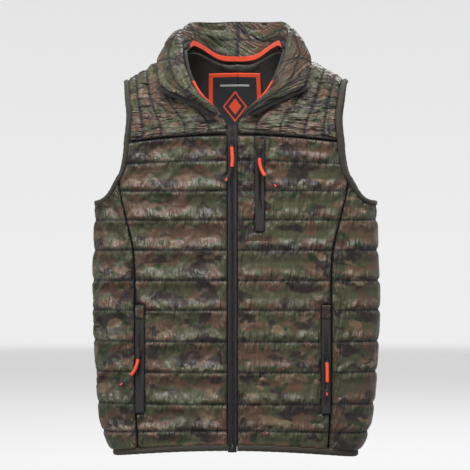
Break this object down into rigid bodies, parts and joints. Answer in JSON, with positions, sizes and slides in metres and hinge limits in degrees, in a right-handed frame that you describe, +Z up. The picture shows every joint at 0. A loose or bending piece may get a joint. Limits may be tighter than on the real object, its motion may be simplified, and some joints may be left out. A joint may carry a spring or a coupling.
{
  "type": "hunting vest",
  "caption": "Sleeveless quilted padded vest in woodland camouflage with orange accents, collar fronts folded out as lapels, sliding zips with swinging pulls.",
  "frame": {"origin": "midway between the shoulders, at the height where they carry the vest", "axes": "+Z up along the body, -Y towards the front, +X towards the right as seen from the front"},
  "size_m": [0.5216, 0.1876, 0.7912],
  "materials": {
    "camouflage_shell": "glossy crinkled nylon in a woodland camouflage of olive, brown and dark patches",
    "lining": "smooth dark woven lining with a slight sheen",
    "binding": "matt dark taupe elastic binding",
    "welt": "matt dark taupe woven tape",
    "zip_tape": "matt dark brown woven zip tape",
    "zip_teeth": "dark brown moulded coil",
    "slider_metal": "satin gunmetal enamel",
    "orange_tape": "blaze orange woven tape",
    "label": "dark satin woven label with a blaze orange border",
    "pull_sleeve": "soft blaze orange tube",
    "cord": "black braided cord",
    "pull_end": "black moulded tab with a plain orange inlay"
  },
  "bodies": {
    "vest": {"left_pocket_zip_tape": "zip_tape", "left_pocket_zip_teeth": "zip_teeth", "left_pocket_welt": "welt", "left_pocket_bag": "lining", "right_pocket_zip_tape": "zip_tape", "right_pocket_zip_teeth": "zip_teeth", "right_pocket_welt": "welt", "right_pocket_bag": "lining", "chest_pocket_zip_tape": "zip_tape", "chest_pocket_zip_teeth": "zip_teeth", "chest_pocket_welt": "welt", "chest_pocket_bag": "lining", "front_panel_left": "camouflage_shell", "front_yoke_left": "camouflage_shell", "side_panel_left": "camouflage_shell", "side_lining_left": "lining", "front_lining_left": "lining", "armhole_binding_left": "binding", "front_panel_right": "camouflage_shell", "front_yoke_right": "camouflage_shell", "side_panel_right": "camouflage_shell", "side_lining_right": "lining", "front_lining_right": "lining", "armhole_binding_right": "binding", "back_panel": "camouflage_shell", "back_yoke": "camouflage_shell", "back_lining": "lining", "hem_binding": "binding", "collar_inner": "camouflage_shell", "collar_outer": "camouflage_shell", "neck_tape": "orange_tape", "hanger_loop": "binding", "label": "label", "main_zip_box": "zip_teeth", "main_zip_tape_left": "zip_tape", "main_zip_teeth_left": "zip_teeth", "main_zip_tape_right": "zip_tape", "main_zip_teeth_right": "zip_teeth", "lapel_zip_left": "zip_tape", "lapel_zip_right": "zip_tape"},
    "main_slider": {"main_slider": "slider_metal"},
    "main_tab": {"main_pull_tab": "slider_metal"},
    "main_pull": {"main_pull_cord": "cord", "main_pull_sleeve": "pull_sleeve", "main_pull_end": "pull_end"},
    "chest_pocket_slider": {"chest_pocket_slider": "slider_metal"},
    "chest_pocket_tab": {"chest_pocket_pull_tab": "slider_metal"},
    "chest_pocket_pull": {"chest_pocket_pull_cord": "cord", "chest_pocket_pull_sleeve": "pull_sleeve", "chest_pocket_pull_end": "pull_end"},
    "left_pocket_slider": {"left_pocket_slider": "slider_metal"},
    "left_pocket_tab": {"left_pocket_pull_tab": "slider_metal"},
    "left_pocket_pull": {"left_pocket_pull_cord": "cord", "left_pocket_pull_sleeve": "pull_sleeve", "left_pocket_pull_end": "pull_end"},
    "right_pocket_slider": {"right_pocket_slider": "slider_metal"},
    "right_pocket_tab": {"right_pocket_pull_tab": "slider_metal"},
    "right_pocket_pull": {"right_pocket_pull_cord": "cord", "right_pocket_pull_sleeve": "pull_sleeve", "right_pocket_pull_end": "pull_end"}
  },
  "joints": [
    {"name": "main_slide", "type": "slide", "parent": "vest", "child": "main_slider", "axis": [0, 0, 1], "range_m": [-0.53, 0]},
    {"name": "main_tab_lift", "type": "hinge", "parent": "main_slider", "child": "main_tab", "pos_m": [0, -0.0896, -0.134], "axis": [-1, 0, 0], "range_deg": [0, 135]},
    {"name": "main_pull_swing", "type": "hinge", "parent": "main_tab", "child": "main_pull", "pos_m": [0, -0.0917, -0.1416], "axis": [0, -1, 0], "range_deg": [-30, 30]},
    {"name": "chest_pocket_slide", "type": "slide", "parent": "vest", "child": "chest_pocket_slider", "axis": [0, 0, 1], "range_m": [-0.13, 0]},
    {"name": "chest_pocket_tab_lift", "type": "hinge", "parent": "chest_pocket_slider", "child": "chest_pocket_tab", "pos_m": [0.04904, -0.08914, -0.153], "axis": [-0.9997, -0.0246, 0], "range_deg": [0, 135]},
    {"name": "chest_pocket_pull_swing", "type": "hinge", "parent": "chest_pocket_tab", "child": "chest_pocket_pull", "pos_m": [0.04909, -0.09124, -0.1606], "axis": [0.0246, -0.9997, 0], "range_deg": [-60, 10]},
    {"name": "left_pocket_slide", "type": "slide", "parent": "vest", "child": "left_pocket_slider", "axis": [0, 0, 1], "range_m": [-0.098, 0.05]},
    {"name": "left_pocket_tab_lift", "type": "hinge", "parent": "left_pocket_slider", "child": "left_pocket_tab", "pos_m": [-0.16778, -0.07698, -0.511], "axis": [-0.9762, 0.217, 0], "range_deg": [0, 135]},
    {"name": "left_pocket_pull_swing", "type": "hinge", "parent": "left_pocket_tab", "child": "left_pocket_pull", "pos_m": [-0.16823, -0.07903, -0.5186], "axis": [-0.217, -0.9762, 0], "range_deg": [-10, 60]},
    {"name": "right_pocket_slide", "type": "slide", "parent": "vest", "child": "right_pocket_slider", "axis": [0, 0, 1], "range_m": [-0.092, 0.056]},
    {"name": "right_pocket_tab_lift", "type": "hinge", "parent": "right_pocket_slider", "child": "right_pocket_tab", "pos_m": [0.16778, -0.07698, -0.517], "axis": [-0.9762, -0.217, 0], "range_deg": [0, 135]},
    {"name": "right_pocket_pull_swing", "type": "hinge", "parent": "right_pocket_tab", "child": "right_pocket_pull", "pos_m": [0.16823, -0.07903, -0.5246], "axis": [0.217, -0.9762, 0], "range_deg": [-30, 30]}
  ]
}
